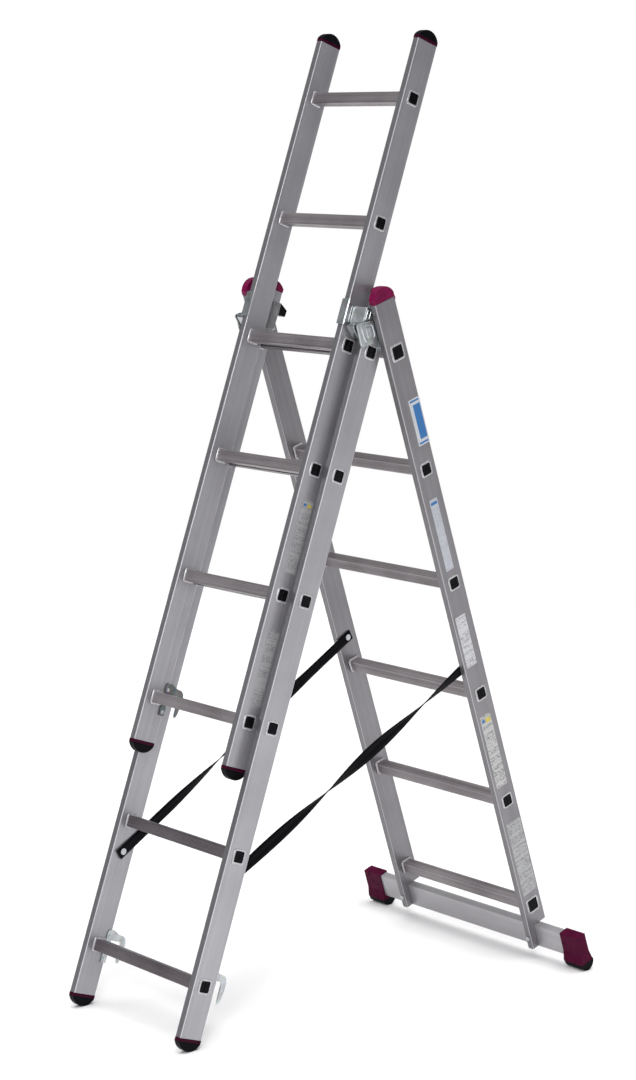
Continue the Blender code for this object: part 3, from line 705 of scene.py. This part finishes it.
def hinge_plate_pressing():
    """The base section's plate: a wing in front of the stile with pressed panels and a turned front edge."""
    bm = bmesh.new()
    outline = [(-0.0298, 0.0095), (-0.0173, 0.0095), (-0.0173, 0.0173), (0.0220, 0.0173), (0.0220, 0.0850),
               (0.0150, 0.0920), (-0.0220, 0.0920), (-0.0290, 0.0850), (-0.0700, 0.0925), (-0.0765, 0.0935),
               (-0.0790, 0.0910), (-0.0800, 0.0440), (-0.0770, 0.0395), (-0.0310, 0.0330), (-0.0300, 0.0120)]
    prism(bm, outline, 0.2040, HINGE_FACE, "x")
    prism(bm, [(-0.0200, 0.0300), (0.0140, 0.0300), (0.0140, 0.0840), (-0.0200, 0.0840)], 0.2050, 0.2077, "x")
    panel = [(-0.0665, 0.0445), (-0.0310, 0.0440), (-0.0310, 0.0815), (-0.0700, 0.0895)]
    embossed_ring(bm, panel, HINGE_FACE, 0.0015, 0.0030, 0.0018)
    centre = [(-0.0560, 0.0520), (-0.0400, 0.0515), (-0.0400, 0.0755), (-0.0560, 0.0780)]
    embossed_pad(bm, centre, HINGE_FACE, 0.0009, 0.0016)
    front_edge = [(-0.0800, 0.0440), (-0.0750, 0.0425), (-0.0735, 0.0905), (-0.0780, 0.0915)]
    embossed_pad(bm, front_edge, HINGE_FACE, 0.0016, 0.0012)
    return mesh_from(bm, "hinge_plate_pressing")


def guide_strip():
    bm = bmesh.new()
    prism(bm, [(-0.0335, 0.0240), (0.0150, 0.0380), (0.0300, 0.0400), (0.0315, 0.0746), (0.0335, 0.0746),
               (0.0335, 0.1010), (0.0100, 0.1000), (-0.0100, 0.0600), (-0.0335, 0.0465)], 0.1774, 0.1802, "x")
    return mesh_from(bm, "guide_strip")


def rear_stop():
    bm = bmesh.new()
    prism(bm, [(0.0308, 0.1020), (0.0543, 0.0900), (0.0530, 0.0746), (0.0308, 0.0740)], 0.1772, 0.1975, "x")
    return mesh_from(bm, "rear_stop")


def guide_nose():
    """The pressed nose in front of the stile: an open channel."""
    bm = bmesh.new()
    outline = [(-0.0308, 0.0490), (-0.0600, 0.0480), (-0.0690, 0.0420), (-0.0690, 0.0370), (-0.0450, 0.0180),
               (-0.0308, 0.0180)]
    prism(bm, outline, 0.1772, 0.1790, "x")
    prism(bm, outline, 0.1957, 0.1975, "x")
    path = ((-0.0308, 0.0480), (-0.0597, 0.0470), (-0.0680, 0.0415), (-0.0680, 0.0374), (-0.0445, 0.0190))
    band(bm, [(y, z, 0.1774, 0.1973) for y, z in path], 0.0020, "x")
    return mesh_from(bm, "guide_nose")


for word, turn in (("right", lambda mesh: mesh), ("left", mirrored_copy)):
    put(f"guide_block_{word}_strip", turn(guide_strip()), "middle", "grey",
        (f"guide_block_{word}",), bevel=0.0006)
    put(f"guide_block_{word}_stop", turn(rear_stop()), "middle", "black", bevel=0.0015)
    put(f"guide_block_{word}_nose", turn(guide_nose()), "middle", "zinc", bevel=0.0004)
    put(f"guide_bracket_{word}_pressing", turn(bracket_pressing()), "middle", "zinc",
        (f"guide_bracket_{word}",), bevel=0.0004)
    put(f"base_hinge_plate_{word}_pressing", turn(hinge_plate_pressing()), "base", "zinc",
        (f"base_hinge_plate_{word}",), bevel=0.0004)


# ---------------------------------------------------------------- CAD nodes that keep their shape
def dress(node, mat, bevel=0.0, segments=2):
    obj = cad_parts[node]
    obj.data.materials.clear()
    obj.data.materials.append(MATS[mat])
    if bevel:
        add_bevel(obj, bevel, segments)


for side, word in SIDES:
    dress(f"upper_hook_{word}", "dark_zinc", 0.0006)
    dress(f"middle_hook_{word}", "zinc", 0.0006)
    dress(f"hinge_pin_{word}", "zinc", 0.0004)
    dress(f"stabiliser_sole_{word}", "rubber", 0.0015, 3)
    dress(f"stabiliser_foot_{word}", "foot", 0.0015, 3)
    dress(f"stabiliser_bolt_{word}", "zinc", 0.0004)
    dress(f"middle_strap_rivet_{word}", "zinc", 0.0005)
    dress(f"base_strap_rivet_{word}", "zinc", 0.0005)
dress("stabiliser_bar", "bar", 0.0015, 3)


HOOK_THICKNESS = 0.0030
HOOK_RIVETS = ((0.0240, 0.0215), (0.0238, -0.0290))  # y, and z from the rung's middle
RIVET_STEPS = ((0.0046, 0.0, 0.0010), (0.0036, 0.0009, 0.0019), (0.0020, 0.0018, 0.0024))  # radius, near, far
RIVET_SIDES = 20


def hook_rivets(key, side):
    """Two domed rivet heads on the inner face of a hook, above and below its rung."""
    level = rung_level(key, 6)
    face = SECTIONS[key]["half"] - STILE_W - GAP - HOOK_THICKNESS
    bm = bmesh.new()
    for y, z in HOOK_RIVETS:
        for radius, near, far in RIVET_STEPS:
            angles = [2 * pi * i / RIVET_SIDES for i in range(RIVET_SIDES)]
            outline = [(y + radius * cos(a), level + z + radius * sin(a)) for a in angles]
            prism(bm, outline, *sorted((side * (face - near), side * (face - far))), "x")
    return mesh_from(bm, "hook_rivets")


for key in ("upper", "middle"):
    for side, word in SIDES:
        put(f"{key}_hook_{word}_rivets", hook_rivets(key, side), key, "zinc")


# ---------------------------------------------------------------- straps
# the webbing's section, in shares of its width and thickness
STRAP_SECTION = ((0.5, 0.30), (0.485, 0.5), (-0.485, 0.5), (-0.5, 0.30),
                 (-0.5, -0.30), (-0.485, -0.5), (0.485, -0.5), (0.5, -0.30))


def strap(side, word, turn, first, last):
    """A webbing strap, flat at both rivets and twisted by turn between two shares of its length."""
    node = f"strap_{word}"
    start = SECTIONS["middle"]["at"] @ Vector((side * 0.1770, -0.0030, -1.1890))
    end = SECTIONS["base"]["at"] @ Vector((side * 0.2052, -0.0010, -0.7680))
    along = (end - start).normalized()
    span = (end - start).length
    across = Vector((0, -along.z, along.y)).normalized()
    normal = along.cross(across).normalized()
    over = 0.0135
    count = 120
    width, thick = 0.0250, 0.0014
    bm = bmesh.new()
    uv_layer = bm.loops.layers.uv.new("strip")
    rings, lengths = [], []
    for i in range(count + 1):
        t = i / count
        s = -over + t * (span + 2 * over)
        share = min(1.0, max(0.0, (s / span - first) / (last - first)))
        twist = turn * (0.5 * share + 0.5 * share * share * (3 - 2 * share))
        centre = start + along * s
        u = across * cos(twist) + normal * sin(twist)
        v = -across * sin(twist) + normal * cos(twist)
        ring = []
        for a, b in STRAP_SECTION:
            ring.append(bm.verts.new(centre + u * (a * width) + v * (b * thick)))
        rings.append(ring)
        lengths.append(s)
    for i, (a, b) in enumerate(zip(rings, rings[1:])):
        for j in range(8):
            k = (j + 1) % 8
            face = bm.faces.new((a[j], a[k], b[k], b[j]))
            corners = ((j, lengths[i]), (k, lengths[i]), (k, lengths[i + 1]), (j, lengths[i + 1]))
            for loop, (jj, ss) in zip(face.loops, corners):
                loop[uv_layer].uv = (jj * 0.004, ss)
    bm.faces.new(rings[0])
    bm.faces.new(list(reversed(rings[-1])))
    mesh = mesh_from(bm, node + "_webbing")
    mesh.materials.append(MATS["webbing"])
    mesh.shade_smooth()
    mesh.set_sharp_from_angle(angle=radians(40))
    obj = bpy.data.objects.new(node + "_webbing", mesh)
    scene.collection.objects.link(obj)
    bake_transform(obj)
    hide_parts(node)


for side, word in SIDES:
    strap(side, word, *((pi, 0.20, 0.82) if side < 0 else (-2 * pi, 0.05, 1.0)))


# ---------------------------------------------------------------- labels
def label(name, key, z_top, z_bottom, v_centre, width, paper, ink, marks=()):
    """A foil sticker on the right stile's outer face; v is the local depth of its middle line."""
    bm = bmesh.new()
    uv_layer = bm.loops.layers.uv.new("strip")
    half_h, mid = (z_top - z_bottom) / 2, (z_top + z_bottom) / 2
    outline = rounded_rectangle(width / 2, half_h, 0.002, 3)
    x = SECTIONS[key]["half"] + 0.00005
    prism(bm, [(v_centre + u, mid + v) for u, v in outline], x, x + 0.00025, "x")
    for face in bm.faces:
        for loop in face.loops:
            co = loop.vert.co
            loop[uv_layer].uv = ((co.y - v_centre) / width + 0.5, (z_top - co.z) / (z_top - z_bottom))
    put(name, mesh_from(bm, name), key, label_material(name + "_print", paper, ink, marks))


WHITE, BLUE, YELLOW = (0.58, 0.60, 0.63), (0.045, 0.17, 0.42), (0.62, 0.50, 0.10)
label("base_label_1", "base", -0.115, -0.2245, 0.013, 0.034, WHITE, 0.0,
      ((0.03, 0.07, 0.1, 0.9, BLUE), (0.13, 0.87, 0.28, 0.92, BLUE), (0.93, 0.97, 0.1, 0.9, BLUE)))
label("base_label_2", "base", -0.352, -0.527, -0.0015, 0.024, (0.50, 0.52, 0.57), 0.22,
      ((0.04, 0.08, 0.1, 0.9, BLUE),))
label("base_label_3", "base", -0.640, -0.767, -0.006, 0.032, (0.60, 0.60, 0.62), 0.60)
label("base_label_4", "base", -0.894, -1.080, -0.004, 0.034, (0.52, 0.52, 0.52), 0.75,
      ((0.05, 0.11, 0.45, 0.9, YELLOW), (0.05, 0.09, 0.1, 0.35, BLUE)))
label("base_label_5", "base", -1.176, -1.368, 0.0025, 0.046, (0.42, 0.42, 0.43), 0.60)
label("upper_label_1", "upper", -0.908, -1.070, 0.005, 0.030, (0.40, 0.40, 0.41), 0.55,
      ((0.05, 0.10, 0.5, 0.85, YELLOW), (0.05, 0.09, 0.1, 0.35, BLUE)))
label("upper_label_2", "upper", -1.200, -1.364, 0.005, 0.030, (0.39, 0.39, 0.40), 0.55)


# ---------------------------------------------------------------- floor, light and camera
def stage_floor(radius):
    """A round pale studio floor; past its edge the plain white backdrop takes over."""
    bm = bmesh.new()
    bmesh.ops.create_circle(bm, cap_ends=True, radius=radius, segments=96)
    mesh = mesh_from(bm, "floor")
    obj = bpy.data.objects.new("studio_floor", mesh)
    obj.location = (0, 0, -0.0005)
    scene.collection.objects.link(obj)
    m = Nodes("studio_floor", Roughness=0.9, Specular_IOR_Level=0.1)
    m.shader.inputs["Base Color"].default_value = (0.95, 0.95, 0.95, 1.0)
    mesh.materials.append(m.mat)


def studio_world(dim, zenith):
    """White behind the object; the light that reaches the object is dimmer, and darker overhead."""
    world = bpy.data.worlds.new("studio")
    scene.world = world
    world.use_nodes = True
    tree = world.node_tree
    shown = tree.nodes["Background"]
    shown.inputs["Color"].default_value = (1.0, 1.0, 1.0, 1.0)
    shown.inputs["Strength"].default_value = 1.0
    lit = tree.nodes.new("ShaderNodeBackground")
    coords = tree.nodes.new("ShaderNodeTexCoord")
    split = tree.nodes.new("ShaderNodeSeparateXYZ")
    ramp = tree.nodes.new("ShaderNodeValToRGB")
    ramp.color_ramp.elements[0].position = 0.0
    ramp.color_ramp.elements[0].color = (dim, dim, dim * 1.03, 1.0)
    ramp.color_ramp.elements[1].position = 0.8
    ramp.color_ramp.elements[1].color = (zenith, zenith, zenith * 1.03, 1.0)
    tree.links.new(coords.outputs["Generated"], split.inputs["Vector"])
    tree.links.new(split.outputs["Z"], ramp.inputs["Fac"])
    tree.links.new(ramp.outputs["Color"], lit.inputs["Color"])
    path = tree.nodes.new("ShaderNodeLightPath")
    mix = tree.nodes.new("ShaderNodeMixShader")
    tree.links.new(path.outputs["Is Camera Ray"], mix.inputs["Fac"])
    tree.links.new(lit.outputs["Background"], mix.inputs[1])
    tree.links.new(shown.outputs["Background"], mix.inputs[2])
    tree.links.new(mix.outputs["Shader"], tree.nodes["World Output"].inputs["Surface"])


def place_light(name, data, location, target):
    obj = bpy.data.objects.new(name, data)
    scene.collection.objects.link(obj)
    obj.location = location
    obj.rotation_euler = (Vector(target) - Vector(location)).to_track_quat("-Z", "Y").to_euler()
    obj.visible_camera = False
    return obj


def area_light(name, location, target, size, power):
    light = bpy.data.lights.new(name, "AREA")
    light.shape = "RECTANGLE"
    light.size, light.size_y = size
    light.energy = power
    place_light(name, light, location, target)


def overhead_sun(strength, spread):
    light = bpy.data.lights.new("overhead", "SUN")
    light.energy = strength
    light.angle = radians(spread)
    place_light("overhead", light, (0.3, -0.5, 6.0), (0, 0, 0))


stage_floor(5.0)
studio_world(0.26, 0.30)
overhead_sun(2.9, 70.0)
area_light("key", (4.6, -5.2, 3.9), (0, 0, 1.0), (1.6, 1.6), 200)
area_light("front_fill", (1.6, -5.6, 1.8), (0, 0, 1.1), (2.0, 2.0), 15)
area_light("side_box", (4.0, 3.4, 0.5), (0, 0, 0.9), (2.0, 1.6), 10)

YAW, CAMERA_PITCH, ROLL = radians(-48.6956), radians(-5.7067), radians(0.5099)
FOCAL_PX, PRINCIPAL_Y = 2563.81, 403.0
IMAGE_W, IMAGE_H = 636, 1080
forward = Vector((sin(YAW) * cos(CAMERA_PITCH), cos(YAW) * cos(CAMERA_PITCH), sin(CAMERA_PITCH)))
level = Vector((cos(YAW), -sin(YAW), 0))
upright = level.cross(forward)
right = level * cos(ROLL) + upright * sin(ROLL)
up = -level * sin(ROLL) + upright * cos(ROLL)
camera_data = bpy.data.cameras.new("camera")
camera_data.sensor_fit = "AUTO"
camera_data.sensor_width = 36.0
camera_data.lens = 36.0 * FOCAL_PX / IMAGE_H
camera_data.shift_y = -(IMAGE_H / 2 - PRINCIPAL_Y) / IMAGE_H
camera_data.clip_end = 200.0
camera = bpy.data.objects.new("camera", camera_data)
scene.collection.objects.link(camera)
rotation = Matrix((right, up, -forward)).transposed().to_4x4()
viewpoint = centre_of("middle_rung_1") + Vector((4.3047, -3.7603, 0.4445))
camera.matrix_world = Matrix.Translation(viewpoint) @ rotation
scene.camera = camera
scene.view_settings.view_transform = "Standard"
